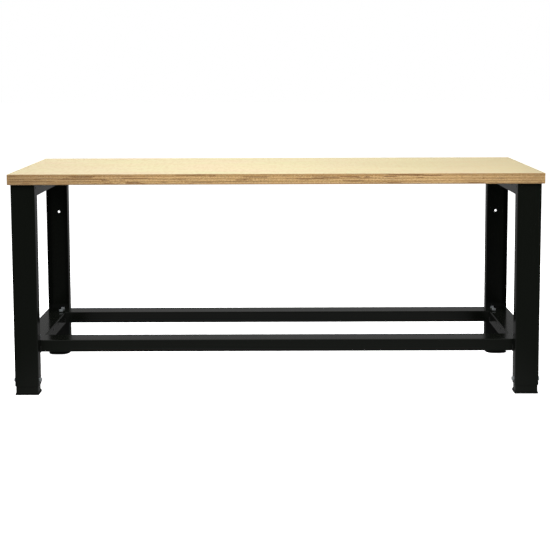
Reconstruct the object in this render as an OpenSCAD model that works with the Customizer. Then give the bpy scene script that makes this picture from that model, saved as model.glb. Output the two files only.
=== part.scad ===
// Workbench: a plywood worktop on two welded side frames of folded sheet channel,
// tied by two bolted stretchers, on four telescopic feet.
// Millimetres. The origin is on the floor under the middle of the worktop,
// +X to the user's right, +Y to the back, +Z up. The feet are at their middle setting.

/* [Worktop] */
// Length of the worktop, left to right
worktop_length = 2000; // [1200:50:2600]
// Depth of the worktop, front to back
worktop_depth = 700; // [640:10:900]
// Thickness of the plywood panel
worktop_thickness = 40; // [36:1:60]
// Height of the working surface above the floor
bench_height = 840; // [720:5:1000]
// Rounding of the panel's edges and corners
worktop_edge_radius = 1.5; // [0.5:0.5:5]
// How far the frame stands in from the worktop's edges
frame_inset = 10; // [8:1:40]

/* [Folded channel] */
// Width of the channels, across the web
channel_width = 90; // [84:1:120]
// Depth of the channels, from the web's face to the flange edges
channel_depth = 45; // [42:1:60]
// Thickness of the sheet
sheet_thickness = 2.5; // [2:0.5:4]
// Inside radius of the folds
fold_radius = 1.5; // [1:0.5:4]

/* [Legs] */
// Height of the legs' lower ends above the floor
leg_ground_gap = 33; // [30:1:60]
// Height of the hole in each rear leg's web
rear_hole_height = 610; // [450:5:660]
// Diameter of the hole in each rear leg's web
rear_hole_diameter = 10; // [5:0.5:14]
// Height of the middle accessory hole in each leg's inner flange
leg_hole_height = 500; // [300:5:600]

/* [Rails] */
// Height of the side rails' upper faces above the floor
side_rail_height = 196; // [180:1:320]
// Distance between the two accessory holes in each side rail
side_rail_hole_spacing = 96; // [40:1:200]
// Distance of the accessory holes from the ends of each top rail
top_rail_hole_inset = 60; // [30:5:120]
// Diameter of the accessory holes in legs and rails
accessory_hole_diameter = 9; // [4:0.5:10]
// Distance of the accessory holes below the upper face of a rail or leg
accessory_hole_drop = 14; // [13:1:22]

/* [Stretchers] */
// Gap between each stretcher and the flange edges of the legs beside it
stretcher_gap = 7; // [2:1:60]
// How far a stretcher's web laps onto a side rail
lap_length = 45; // [36:1:60]
// Distance between the two bolts of a lap
lap_bolt_spacing = 45; // [30:1:50]
// Distance of the lap bolts from the side rail's inner face
lap_bolt_setback = 22; // [18:1:26]
// Corner radius of the laps
lap_corner_radius = 6; // [2:1:10]

/* [Feet] */
// Length of the sleeve that slides in each leg
sleeve_length = 140; // [130:1:200]
// Travel of a foot upwards from the middle setting
foot_travel_up = 15; // [5:1:18]
// Travel of a foot downwards from the middle setting
foot_travel_down = 50; // [20:1:52]
// Height of the clamp bolts above the legs' lower ends
clamp_bolt_rise = 20; // [20:1:30]
// Distance of the clamp bolts behind the leg's web face
clamp_bolt_setback = 24; // [22:1:26]
// Distance from the clamp bolts up to the spare clamp holes
spare_clamp_rise = 44; // [24:1:60]
// Thickness of the plate under each sleeve
plate_thickness = 3; // [3:0.5:6]
// Length of each foot plate, from the leg's web towards the middle of the bench's depth
plate_length = 80; // [60:1:110]
// How far each foot plate stands out past the leg's web
plate_overhang = 1; // [0:0.5:4]
// How far each foot plate stands in from the leg's sides
plate_inset = 1; // [0:0.5:3]
// Radius of the foot plates' two corners under the leg's web
plate_heel_radius = 4; // [1:0.5:8]
// Radius of the foot plates' two corners towards the middle
plate_toe_radius = 30; // [4:1:36]
// Thickness of the pad under each foot plate
pad_thickness = 3; // [2:0.5:8]
// How far each pad stands out past its plate
pad_lip = 1; // [0.5:0.5:3]
// Diameter of the plugs that hold a pad in its plate
plug_diameter = 8; // [5:0.5:12]
// Distance between a pad's two plugs
plug_spacing = 44; // [25:1:55]

/* [Fasteners] */
// Diameter of the frame bolts
bolt_diameter = 8; // [6:1:8]
// Length of the frame bolts under the head
bolt_length = 20; // [20:1:30]
// Width across the flats of the bolt heads and nuts
bolt_across_flats = 13; // [11:0.5:14]
// Height of the bolt heads
bolt_head_height = 5.3; // [4:0.1:6]
// Height of the nuts
nut_height = 6.5; // [5:0.1:7]
// Outer diameter of the washers
washer_diameter = 16; // [15:0.5:17]
// Thickness of the washers
washer_thickness = 1.6; // [1:0.1:2]
// Number of screws up through each top rail
screws_per_rail = 3; // [2:1:4]
// Distance of the end screws from the ends of each top rail
screw_inset = 75; // [30:5:120]
// Diameter of the worktop screws
screw_diameter = 6; // [4:0.5:7]
// Length of the worktop screws under the head
screw_length = 32; // [20:1:35]
// Width across the flats of the worktop screws' heads
screw_across_flats = 10; // [8:0.5:12]
// Height of the worktop screws' heads, without the flange
screw_head_height = 4; // [3:0.5:5]
// Diameter of the flange under a worktop screw's head
screw_flange_diameter = 15; // [14:0.5:17]
// Thickness of the flange under a worktop screw's head
screw_flange_thickness = 1.2; // [1:0.1:2]

/* [Clearances] */
// Gap round each sleeve in its leg, and behind the clamp nuts
slide_clearance = 0.3; // [0.3:0.05:0.6]
// Gap between a sleeve's flange edges and the end of a rail
sleeve_edge_clearance = 1; // [0.5:0.1:2]
// Gap all round a bolt or screw in its hole
bolt_clearance = 0.5; // [0.3:0.1:1]
// Gap all round a thread in its nut or pilot hole, and a bolt in its washer
thread_clearance = 0.1; // [0.05:0.05:0.2]
// Gap all round a pad's plug in its plate
plug_clearance = 0.2; // [0.1:0.05:0.4]
// Gap between a stretcher's flange ends and a side rail
stretcher_end_clearance = 0.5; // [0.5:0.5:3]

/* [Hidden] */
$fn = 64;

// Which side and which end of the bench a piece belongs to
LEFT = -1;
RIGHT = 1;
FRONT = -1;
REAR = 1;

BLACK = [0.09, 0.09, 0.095];
ZINC = [0.72, 0.73, 0.74];
BIRCH = [0.90, 0.80, 0.60];
RUBBER = [0.05, 0.05, 0.05];

// The frame's outline under the worktop
frame_height = bench_height - worktop_thickness;
frame_half_length = worktop_length / 2 - frame_inset;
frame_half_depth = worktop_depth / 2 - frame_inset;
side_centre = frame_half_length - channel_width / 2;
side_inner = frame_half_length - channel_width;
rail_end = frame_half_depth - channel_depth;
leg_centre_y = frame_half_depth - channel_depth / 2;

outer_fold = fold_radius + sheet_thickness;
stretcher_height = side_rail_height + sheet_thickness;
lap_bolt_x = side_inner + lap_bolt_setback;
lap_grip = 2 * sheet_thickness;
stretcher_y = rail_end - stretcher_gap - channel_width / 2;
top_rail_hole_y = rail_end - top_rail_hole_inset;
screw_span = 2 * (rail_end - screw_inset);

// The sleeves inside the legs
leg_inner_width = channel_width - 2 * sheet_thickness;
sleeve_width = leg_inner_width - 2 * slide_clearance;
sleeve_depth = channel_depth - sheet_thickness - slide_clearance - sleeve_edge_clearance;
sleeve_web_y = frame_half_depth - sheet_thickness - slide_clearance;
sleeve_bottom = pad_thickness + plate_thickness;
clamp_bolt_height = leg_ground_gap + clamp_bolt_rise;
clamp_bolt_y = frame_half_depth - clamp_bolt_setback;
clamp_grip = 2 * (sheet_thickness + slide_clearance);

plate_width = channel_width - 2 * plate_inset;
plate_heel_y = frame_half_depth + plate_overhang;

bolt_hole = bolt_diameter + 2 * bolt_clearance;
threaded_hole = bolt_diameter + 2 * thread_clearance;
screw_hole = screw_diameter + 2 * bolt_clearance;
pilot_hole = screw_diameter + 2 * thread_clearance;
screw_depth = screw_length - sheet_thickness;

// Past every face that a cutting shape goes through
cut = 1;

// Moves a piece drawn at the front right corner to another corner
module at_corner(side, end) {
    if (side == LEFT && end == REAR) rotate([0, 0, 180]) children();
    else if (side == LEFT) mirror([1, 0, 0]) children();
    else if (end == REAR) mirror([0, 1, 0]) children();
    else children();
}

// Moves a piece drawn at the right side to another side
module at_side(side) {
    if (side == LEFT) mirror([1, 0, 0]) children();
    else children();
}

// Moves a piece drawn at the front to another end
module at_end(end) {
    if (end == REAR) mirror([0, 1, 0]) children();
    else children();
}

// A rectangle standing on the X axis, with its two lower corners round
module round_bottomed(width, height, radius) {
    translate([-width / 2, radius]) square([width, height - radius]);
    translate([radius - width / 2, 0]) square([width - 2 * radius, height]);
    for (side = [-1, 1]) translate([side * (width / 2 - radius), radius]) circle(radius);
}

// A channel of folded sheet along +Z, with its web's face on the X axis and its flanges towards +Y
module channel(width, depth, length) {
    linear_extrude(length) difference() {
        round_bottomed(width, depth, outer_fold);
        translate([0, sheet_thickness])
            round_bottomed(width - 2 * sheet_thickness, depth + cut, fold_radius);
    }
}

// The same channel along +Y, with its web up and its face at the height 0
module level_channel(length) {
    rotate([-90, 0, 0]) channel(channel_width, channel_depth, length);
}

// A rectangle with round corners, centred on the origin
module round_rectangle(width, height, radius) {
    square([width - 2 * radius, height], center = true);
    square([width, height - 2 * radius], center = true);
    for (x = [-1, 1]) for (y = [-1, 1])
        translate([x * (width / 2 - radius), y * (height / 2 - radius)]) circle(radius);
}

// The outline of a foot, with its heel on the X axis and its toe towards +Y, larger all round by the lip
module foot_outline(lip) {
    width = plate_width + 2 * lip;
    length = plate_length + 2 * lip;
    heel = plate_heel_radius + lip;
    toe = plate_toe_radius + lip;
    translate([0, -lip]) {
        translate([-width / 2, heel]) square([width, length - heel - toe]);
        translate([heel - width / 2, 0]) square([width - 2 * heel, length - toe]);
        translate([toe - width / 2, heel]) square([width - 2 * toe, length - heel]);
        for (side = [-1, 1]) {
            translate([side * (width / 2 - heel), heel]) circle(heel);
            translate([side * (width / 2 - toe), length - toe]) circle(toe);
        }
    }
}

// Puts children at the front right foot, on the floor under the edge of its heel
module at_heel() {
    translate([side_centre, -plate_heel_y, 0]) children();
}

// Puts children at the two plugs of the front right foot's pad, on the floor
module at_plugs() {
    for (side = [-1, 1]) translate([side_centre + side * plug_spacing / 2, -leg_centre_y, 0]) children();
}

// A panel with round corners and round edges, centred on the origin and standing on the height 0
module panel(width, depth, thickness, corner, edge) {
    translate([0, 0, thickness / 2]) intersection() {
        linear_extrude(thickness, center = true) round_rectangle(width, depth, corner);
        rotate([90, 0, 0]) linear_extrude(depth, center = true) round_rectangle(width, thickness, edge);
        rotate([0, 90, 0]) linear_extrude(width, center = true) round_rectangle(thickness, depth, edge);
    }
}

// A hole along X through a flange whose outer face is at x
module flange_hole(x, y, height, diameter) {
    translate([x, y, height]) rotate([0, 90, 0])
        cylinder(d = diameter, h = 2 * (sheet_thickness + cut), center = true);
}

// A hole along Z through a web whose upper face is at height
module web_hole(x, y, height, diameter) {
    translate([x, y, height]) cylinder(d = diameter, h = 2 * (sheet_thickness + cut), center = true);
}

// A hexagonal prism standing on the height 0, with its corners chamfered at the top and, if asked, below
module hexagon(across_flats, height, both_ends) {
    corner = across_flats / sqrt(3);
    bevel = (corner - across_flats / 2) * 0.6;
    lower = both_ends ? bevel : 0;
    intersection() {
        cylinder(r = corner, h = height, $fn = 6);
        rotate_extrude() polygon([
            [0, 0], [across_flats / 2 + bevel - lower, 0], [corner, lower],
            [corner, height - bevel], [across_flats / 2, height], [0, height]
        ]);
    }
}

// A washer standing on the height 0
module washer() {
    difference() {
        cylinder(d = washer_diameter, h = washer_thickness);
        translate([0, 0, -cut]) cylinder(d = threaded_hole, h = washer_thickness + 2 * cut);
    }
}

// A hex bolt whose washer stands on the height 0, with its shank down through it
module bolt() {
    tip = bolt_diameter / 8;
    translate([0, 0, washer_thickness]) {
        hexagon(bolt_across_flats, bolt_head_height, false);
        rotate_extrude() polygon([
            [0, -bolt_length], [bolt_diameter / 2 - tip, -bolt_length],
            [bolt_diameter / 2, tip - bolt_length], [bolt_diameter / 2, 0], [0, 0]
        ]);
    }
}

// A nut whose washer hangs from the height 0
module nut() {
    translate([0, 0, -washer_thickness - nut_height]) difference() {
        hexagon(bolt_across_flats, nut_height, true);
        translate([0, 0, -cut]) cylinder(d = threaded_hole, h = nut_height + 2 * cut);
    }
}

// The two washers that hold a grip between them, the upper one standing on the height 0
module washer_pair(grip) {
    washer();
    translate([0, 0, -grip - washer_thickness]) washer();
}

// Puts children at the two clamp bolts of the front right foot, their own +Z out of the leg
module at_clamps() {
    translate([side_inner, -clamp_bolt_y, clamp_bolt_height]) rotate([0, -90, 0]) children();
    translate([frame_half_length, -clamp_bolt_y, clamp_bolt_height]) rotate([0, 90, 0]) children();
}

// Puts children at the two bolts of the front right lap, at the stretcher's upper face
module at_laps() {
    for (y = [-1, 1])
        translate([lap_bolt_x, y * lap_bolt_spacing / 2 - stretcher_y, stretcher_height])
            children();
}

// Puts children at each worktop screw of the right side, on the underside of the top rail's web
module at_screws() {
    for (i = [0 : screws_per_rail - 1])
        translate([side_centre, screw_span * (i / (screws_per_rail - 1) - 0.5), frame_height - sheet_thickness])
            children();
}

// The plywood panel, with a blind pilot hole over each screw
module worktop() {
    color(BIRCH) difference() {
        translate([0, 0, frame_height])
            panel(worktop_length, worktop_depth, worktop_thickness, worktop_edge_radius, worktop_edge_radius);
        for (side = [LEFT, RIGHT]) at_side(side) at_screws()
            cylinder(d = pilot_hole, h = screw_length + cut);
    }
}

// A leg: an upright channel, open towards the middle of the bench's depth
module leg(side, end) {
    color(BLACK) at_corner(side, end) difference() {
        translate([side_centre, -frame_half_depth, leg_ground_gap])
            channel(channel_width, channel_depth, frame_height - leg_ground_gap);
        for (x = [side_inner, frame_half_length]) for (rise = [0, spare_clamp_rise])
            flange_hole(x, -clamp_bolt_y, clamp_bolt_height + rise, bolt_hole);
        for (height = [leg_hole_height, frame_height - accessory_hole_drop])
            flange_hole(side_inner, -leg_centre_y, height, accessory_hole_diameter);
        if (end == REAR)
            translate([side_centre, -frame_half_depth, rear_hole_height]) rotate([90, 0, 0])
                cylinder(d = rear_hole_diameter, h = 2 * (sheet_thickness + cut), center = true);
    }
}

// A rail under the worktop, between the two legs of a side
module top_rail(side) {
    color(BLACK) at_side(side) difference() {
        translate([side_centre, -rail_end, frame_height]) level_channel(2 * rail_end);
        at_screws() web_hole(0, 0, sheet_thickness, screw_hole);
        for (y = [-1, 1])
            flange_hole(side_inner, y * top_rail_hole_y, frame_height - accessory_hole_drop,
                accessory_hole_diameter);
    }
}

// A low rail that carries the stretchers, between the two legs of a side
module side_rail(side) {
    color(BLACK) at_side(side) difference() {
        translate([side_centre, -rail_end, side_rail_height]) level_channel(2 * rail_end);
        for (end = [FRONT, REAR]) at_end(end) at_laps()
            web_hole(0, 0, -sheet_thickness, bolt_hole);
        for (y = [-1, 1])
            flange_hole(side_inner, y * side_rail_hole_spacing / 2, side_rail_height - accessory_hole_drop,
                accessory_hole_diameter);
    }
}

// A stretcher: a level channel between the side rails, whose web runs on past its cut-back flanges
// and laps onto both rails
module stretcher(end) {
    flange_half_length = side_inner - stretcher_end_clearance;
    color(BLACK) at_end(end) difference() {
        union() {
            translate([-flange_half_length, -stretcher_y, stretcher_height])
                rotate([0, 0, -90]) level_channel(2 * flange_half_length);
            translate([0, -stretcher_y, side_rail_height]) linear_extrude(sheet_thickness)
                round_rectangle(2 * (side_inner + lap_length), channel_width - 2 * outer_fold,
                    lap_corner_radius);
        }
        for (side = [LEFT, RIGHT]) at_side(side) at_laps() web_hole(0, 0, 0, bolt_hole);
    }
}

// A foot's sleeve: a smaller channel inside the leg, with a slot in each flange for its clamp bolt
module foot_sleeve(side, end) {
    color(BLACK) at_corner(side, end) difference() {
        translate([side_centre, -sleeve_web_y, sleeve_bottom])
            channel(sleeve_width, sleeve_depth, sleeve_length);
        translate([side_centre, -clamp_bolt_y, clamp_bolt_height]) {
            for (height = [-foot_travel_up, foot_travel_down])
                translate([0, 0, height]) rotate([0, 90, 0])
                    cylinder(d = bolt_hole, h = channel_width, center = true);
            translate([-channel_width / 2, -bolt_hole / 2, -foot_travel_up])
                cube([channel_width, bolt_hole, foot_travel_up + foot_travel_down]);
        }
    }
}

// The plate welded under a sleeve, with a hole for each plug of its pad
module foot_plate(side, end) {
    color(BLACK) at_corner(side, end) translate([0, 0, pad_thickness]) difference() {
        at_heel() linear_extrude(plate_thickness) foot_outline(0);
        at_plugs() translate([0, 0, -cut])
            cylinder(d = plug_diameter + 2 * plug_clearance, h = plate_thickness + 2 * cut);
    }
}

// The pad under a foot plate, with its two plugs
module foot_pad(side, end) {
    color(RUBBER) at_corner(side, end) {
        at_heel() linear_extrude(pad_thickness) foot_outline(pad_lip);
        at_plugs() translate([0, 0, pad_thickness - cut])
            cylinder(d = plug_diameter, h = plate_thickness + cut);
    }
}

module clamp_bolts(side, end) {
    color(ZINC) at_corner(side, end) at_clamps() bolt();
}

module clamp_nuts(side, end) {
    color(ZINC) at_corner(side, end) at_clamps() translate([0, 0, -clamp_grip]) nut();
}

module clamp_washers(side, end) {
    color(ZINC) at_corner(side, end) at_clamps() washer_pair(clamp_grip);
}

module lap_bolts(side, end) {
    color(ZINC) at_corner(side, end) at_laps() bolt();
}

module lap_nuts(side, end) {
    color(ZINC) at_corner(side, end) at_laps() translate([0, 0, -lap_grip]) nut();
}

module lap_washers(side, end) {
    color(ZINC) at_corner(side, end) at_laps() washer_pair(lap_grip);
}

// The screws up through a top rail into the worktop
module worktop_screws(side) {
    tip = screw_diameter / 4;
    color(ZINC) at_side(side) at_screws() {
        translate([0, 0, -screw_flange_thickness])
            cylinder(d = screw_flange_diameter, h = screw_flange_thickness);
        mirror([0, 0, 1]) translate([0, 0, screw_flange_thickness])
            hexagon(screw_across_flats, screw_head_height, false);
        rotate_extrude() polygon([
            [0, 0], [screw_diameter / 2, 0], [screw_diameter / 2, screw_length - 2 * tip],
            [0, screw_length]
        ]);
    }
}

worktop();
leg(LEFT, FRONT);  // leg_front_left
leg(RIGHT, FRONT);  // leg_front_right
leg(LEFT, REAR);  // leg_rear_left
leg(RIGHT, REAR);  // leg_rear_right
top_rail(LEFT);  // top_rail_left
top_rail(RIGHT);  // top_rail_right
side_rail(LEFT);  // side_rail_left
side_rail(RIGHT);  // side_rail_right
stretcher(FRONT);  // front_stretcher
stretcher(REAR);  // rear_stretcher
foot_sleeve(LEFT, FRONT);  // foot_sleeve_front_left
foot_sleeve(RIGHT, FRONT);  // foot_sleeve_front_right
foot_sleeve(LEFT, REAR);  // foot_sleeve_rear_left
foot_sleeve(RIGHT, REAR);  // foot_sleeve_rear_right
foot_plate(LEFT, FRONT);  // foot_plate_front_left
foot_plate(RIGHT, FRONT);  // foot_plate_front_right
foot_plate(LEFT, REAR);  // foot_plate_rear_left
foot_plate(RIGHT, REAR);  // foot_plate_rear_right
foot_pad(LEFT, FRONT);  // foot_pad_front_left
foot_pad(RIGHT, FRONT);  // foot_pad_front_right
foot_pad(LEFT, REAR);  // foot_pad_rear_left
foot_pad(RIGHT, REAR);  // foot_pad_rear_right
clamp_bolts(LEFT, FRONT);  // clamp_bolts_front_left
clamp_bolts(RIGHT, FRONT);  // clamp_bolts_front_right
clamp_bolts(LEFT, REAR);  // clamp_bolts_rear_left
clamp_bolts(RIGHT, REAR);  // clamp_bolts_rear_right
clamp_nuts(LEFT, FRONT);  // clamp_nuts_front_left
clamp_nuts(RIGHT, FRONT);  // clamp_nuts_front_right
clamp_nuts(LEFT, REAR);  // clamp_nuts_rear_left
clamp_nuts(RIGHT, REAR);  // clamp_nuts_rear_right
clamp_washers(LEFT, FRONT);  // clamp_washers_front_left
clamp_washers(RIGHT, FRONT);  // clamp_washers_front_right
clamp_washers(LEFT, REAR);  // clamp_washers_rear_left
clamp_washers(RIGHT, REAR);  // clamp_washers_rear_right
lap_bolts(LEFT, FRONT);  // lap_bolts_front_left
lap_bolts(RIGHT, FRONT);  // lap_bolts_front_right
lap_bolts(LEFT, REAR);  // lap_bolts_rear_left
lap_bolts(RIGHT, REAR);  // lap_bolts_rear_right
lap_nuts(LEFT, FRONT);  // lap_nuts_front_left
lap_nuts(RIGHT, FRONT);  // lap_nuts_front_right
lap_nuts(LEFT, REAR);  // lap_nuts_rear_left
lap_nuts(RIGHT, REAR);  // lap_nuts_rear_right
lap_washers(LEFT, FRONT);  // lap_washers_front_left
lap_washers(RIGHT, FRONT);  // lap_washers_front_right
lap_washers(LEFT, REAR);  // lap_washers_rear_left
lap_washers(RIGHT, REAR);  // lap_washers_rear_right
worktop_screws(LEFT);  // worktop_screws_left
worktop_screws(RIGHT);  // worktop_screws_right
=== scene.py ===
"""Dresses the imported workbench: plywood, powder coat, zinc, rubber, threads, floor, lights and camera."""

import math
import random
from collections import namedtuple

import bmesh
import bpy
from mathutils import Matrix, Vector


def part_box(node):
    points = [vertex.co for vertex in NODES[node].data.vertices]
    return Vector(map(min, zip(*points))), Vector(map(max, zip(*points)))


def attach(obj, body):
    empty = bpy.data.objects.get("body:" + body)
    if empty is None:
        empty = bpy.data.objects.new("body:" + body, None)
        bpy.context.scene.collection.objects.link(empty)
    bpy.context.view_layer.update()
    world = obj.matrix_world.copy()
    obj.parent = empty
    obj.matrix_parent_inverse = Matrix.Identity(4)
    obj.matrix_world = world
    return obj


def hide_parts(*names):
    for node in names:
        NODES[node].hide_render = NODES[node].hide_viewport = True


bl_info = {
    "name": "Workbench dressing",
    "version": (1, 0, 0),
    "blender": (4, 5, 0),
    "location": "3D View > Sidebar > Workbench",
    "description": "Finishes, fasteners and studio for a plywood and steel workbench",
    "category": "Object",
}

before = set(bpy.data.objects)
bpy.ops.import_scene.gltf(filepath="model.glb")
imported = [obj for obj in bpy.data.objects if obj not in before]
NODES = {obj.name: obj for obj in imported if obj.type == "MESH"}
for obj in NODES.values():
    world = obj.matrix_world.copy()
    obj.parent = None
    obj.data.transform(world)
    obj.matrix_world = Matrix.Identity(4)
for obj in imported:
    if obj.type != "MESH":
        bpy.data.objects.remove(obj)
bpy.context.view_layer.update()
BENCH = "bench"
CORNERS = [f"{end}_{side}" for end in ("front", "rear") for side in ("left", "right")]
CHANNEL_NODES = [f"leg_{corner}" for corner in CORNERS] + [
    "top_rail_left", "top_rail_right", "side_rail_left", "side_rail_right",
    "front_stretcher", "rear_stretcher",
]
MILLIMETRE = 0.001
PLY_COUNT = 21
WHITE = (1.0, 1.0, 1.0)


def colour_setting(name, description, default):
    return bpy.props.FloatVectorProperty(
        name=name, description=description, subtype="COLOR", size=3, min=0, max=1, default=default)


def light_setting(name, description, default, unit="NONE"):
    return bpy.props.FloatProperty(name=name, description=description, min=0, default=default, unit=unit)


class FinishSettings(bpy.types.PropertyGroup):
    """Colours and sheens of the bench's finishes"""

    face_veneer: colour_setting("Face veneer", "Colour of the worktop's birch faces", (0.575, 0.565, 0.345))
    long_ply: colour_setting(
        "Long plies", "Colour of the plies that show their long grain at an edge", (0.66, 0.43, 0.172))
    end_ply: colour_setting(
        "End grain plies", "Colour of the plies that show their end grain at an edge", (0.50, 0.295, 0.108))
    powder_coat: colour_setting(
        "Powder coat", "Colour of the steel's satin black powder coat", (0.0046, 0.0055, 0.0042))
    zinc: colour_setting(
        "Zinc plate", "Colour of the bright zinc on bolts, nuts, washers and screws", (0.60, 0.64, 0.66))
    rubber: colour_setting("Rubber", "Colour of the moulded foot pads", (0.010, 0.010, 0.011))
    powder_coat_roughness: bpy.props.FloatProperty(
        name="Powder coat roughness", description="Mean roughness of the powder coat",
        min=0, max=1, default=0.15, subtype="FACTOR",
    )


class StageSettings(bpy.types.PropertyGroup):
    """Camera and studio"""

    camera_place: bpy.props.FloatVectorProperty(
        name="Camera place", description="Where the camera stands",
        subtype="TRANSLATION", unit="LENGTH", size=3, default=(0.029, -4.550, 1.254),
    )
    camera_pitch: bpy.props.FloatProperty(
        name="Camera pitch", description="How far the camera looks down",
        subtype="ANGLE", unit="ROTATION", default=math.radians(5.192),
    )
    camera_roll: bpy.props.FloatProperty(
        name="Camera roll", description="Turn of the camera about its own axis",
        subtype="ANGLE", unit="ROTATION", default=math.radians(-0.172),
    )
    focal_length: bpy.props.FloatProperty(
        name="Focal length", description="Focal length on a sensor 36 mm wide",
        unit="CAMERA", min=10, max=300, default=74.48,
    )
    shift_x: bpy.props.FloatProperty(
        name="Sideways shift", description="Sideways shift of the lens, as a share of the sensor's width",
        min=-1, max=1, default=-0.016,
    )
    shift_y: bpy.props.FloatProperty(
        name="Vertical shift", description="Vertical shift of the lens, as a share of the sensor's width",
        min=-1, max=1, default=-0.20,
    )
    floor_size: bpy.props.FloatProperty(
        name="Floor size", description="Length of a side of the floor", unit="LENGTH", min=5, default=60,
    )
    floor_glow: light_setting("Floor glow", "Light that lifts the floor to white before the camera", 0.85)
    floor_bounce: light_setting("Floor bounce", "Light that the floor throws up at the bench", 0.12)
    key_power: light_setting("Key light", "Power of the large light high before the bench", 555, "POWER")
    back_power: light_setting("Back light", "Power of the light over the bench's back", 122, "POWER")
    fill_power: light_setting("Fill light", "Power of the light before the bench", 85, "POWER")
    ceiling: light_setting("Ceiling", "Light that the surroundings overhead throw on the bench", 0.25)
    front_reflection: light_setting(
        "Front reflection", "Brightness that reflections see before the bench", 0.012)
    # The floor beside the bench and just behind it is dimmed in reflections as the bench's painted shadow
    side_reflection: light_setting(
        "Side reflection", "Brightness that reflections see on the floor beside the bench", 0.035)
    back_reflection: light_setting(
        "Back reflection", "Brightness that reflections see under and behind the bench", 0.18)


# Shader nodes

# Places of the two inputs and the output on a Mix node, for values and for colours
MIX_SOCKETS = {"FLOAT": (2, 3, 0), "RGBA": (6, 7, 2)}


class Graph:
    """Adds nodes to a node tree, each with its settings and its inputs given as values or sockets."""

    def __init__(self, tree):
        self.tree = tree
        tree.nodes.clear()

    def add(self, kind, inputs=None, **settings):
        node = self.tree.nodes.new(kind)
        for name, value in settings.items():
            setattr(node, name, value)
        for name, value in (inputs or {}).items():
            self.feed(node.inputs[name], value)
        return node

    def feed(self, socket, value):
        """Links a socket to another, or sets its value. A colour is given without its alpha."""
        if isinstance(value, bpy.types.NodeSocket):
            self.tree.links.new(value, socket)
        elif socket.type == "RGBA":
            socket.default_value = (*value, 1.0)
        else:
            socket.default_value = value

    def group(self, tree, inputs):
        return self.add("ShaderNodeGroup", inputs, node_tree=tree).outputs

    def axes(self, vector):
        return self.add("ShaderNodeSeparateXYZ", {"Vector": vector}).outputs

    def facing(self):
        return self.axes(self.add("ShaderNodeNewGeometry").outputs["Normal"])

    def vector(self, x, y, z):
        return self.add("ShaderNodeCombineXYZ", {"X": x, "Y": y, "Z": z}).outputs["Vector"]

    def math(self, operation, *values):
        return self.add("ShaderNodeMath", dict(enumerate(values)), operation=operation).outputs["Value"]

    def mix(self, factor, first, second, kind="RGBA"):
        """A colour between two others, or a value between two others if the kind is FLOAT."""
        first_place, second_place, result_place = MIX_SOCKETS[kind]
        inputs = {0: factor, first_place: first, second_place: second}
        return self.add("ShaderNodeMix", inputs, data_type=kind).outputs[result_place]

    def spread(self, value, low, high, new_low=0.0, new_high=1.0):
        """Carries the range low to high over to a new range, and clips what lies outside."""
        return self.add("ShaderNodeMapRange", {
            "Value": value, "From Min": low, "From Max": high, "To Min": new_low, "To Max": new_high,
        }).outputs["Result"]

    def noise(self, vector, scale, detail, roughness):
        return self.add("ShaderNodeTexNoise", {
            "Vector": vector, "Scale": scale, "Detail": detail, "Roughness": roughness,
        }).outputs["Fac"]

    def bump(self, height, strength, distance):
        return self.add("ShaderNodeBump", {
            "Height": height, "Strength": strength, "Distance": distance,
        }).outputs["Normal"]

    def glaze(self, base, glazes):
        """Lays glazes over a colour: for each a mask, its values for no and full cover, share and tint."""
        for mask, start, full, share, tint in glazes:
            base = self.mix(self.spread(mask, start, full, 0.0, share), base, tint)
        return base


def node_group(name, inputs, outputs):
    """A new shader node group with sockets given as name to kind, and its graph, inputs and output node."""
    tree = bpy.data.node_groups.new(name, "ShaderNodeTree")
    for in_out, sockets in (("INPUT", inputs), ("OUTPUT", outputs)):
        for socket_name, kind in sockets.items():
            tree.interface.new_socket(name=socket_name, in_out=in_out, socket_type=f"NodeSocket{kind}")
    graph = Graph(tree)
    return tree, graph, graph.add("NodeGroupInput").outputs, graph.add("NodeGroupOutput")


DUST_COLOUR = (0.42, 0.40, 0.37)
DUST_ROUGHNESS = 0.5


def handling_group():
    """Uneven sheen and a little dust, for every finish on the bench."""
    tree, graph, given, result = node_group(
        "handling",
        {"Vector": "Vector", "Colour": "Color", "Roughness": "Float", "Unevenness": "Float", "Dust": "Float"},
        {"Colour": "Color", "Roughness": "Float"},
    )
    clouds = graph.noise(given["Vector"], scale=9.0, detail=4.0, roughness=0.55)
    rubs = graph.noise(given["Vector"], scale=60.0, detail=5.0, roughness=0.65)
    specks = graph.noise(given["Vector"], scale=420.0, detail=2.0, roughness=0.6)
    wear = graph.spread(graph.mix(0.4, clouds, rubs, "FLOAT"), 0.0, 1.0, -1.0, 1.0)
    rough = graph.math("ADD", given["Roughness"], graph.math("MULTIPLY", wear, given["Unevenness"]))
    upward = graph.spread(graph.facing()["Z"], 0.3, 1.0)
    lying = graph.math("MULTIPLY", graph.spread(specks, 0.55, 0.75, 0.3, 1.0), upward)
    dust = graph.math("MULTIPLY", lying, graph.math("MULTIPLY", clouds, given["Dust"]))
    graph.feed(result.inputs["Colour"], graph.mix(dust, given["Colour"], DUST_COLOUR))
    dust_sheen = graph.math("MULTIPLY", dust, DUST_ROUGHNESS)
    graph.feed(result.inputs["Roughness"], graph.math("ADD", rough, dust_sheen))
    return tree


def skin_group():
    """The fine waves of a sprayed, moulded or plated skin, as a normal."""
    tree, graph, given, result = node_group(
        "skin", {"Vector": "Vector", "Wave": "Float", "Depth": "Float"}, {"Normal": "Vector"})
    waves = graph.noise(given["Vector"], given["Wave"], detail=2.0, roughness=0.45)
    graph.feed(result.inputs["Normal"], graph.bump(waves, 1.0, given["Depth"]))
    return tree


# Finishes

def new_material(name):
    """A material with its graph and the place of each point on the object."""
    material = bpy.data.materials.new(name)
    material.use_nodes = True
    graph = Graph(material.node_tree)
    return material, graph, graph.add("ShaderNodeTexCoord").outputs["Object"]


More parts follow.
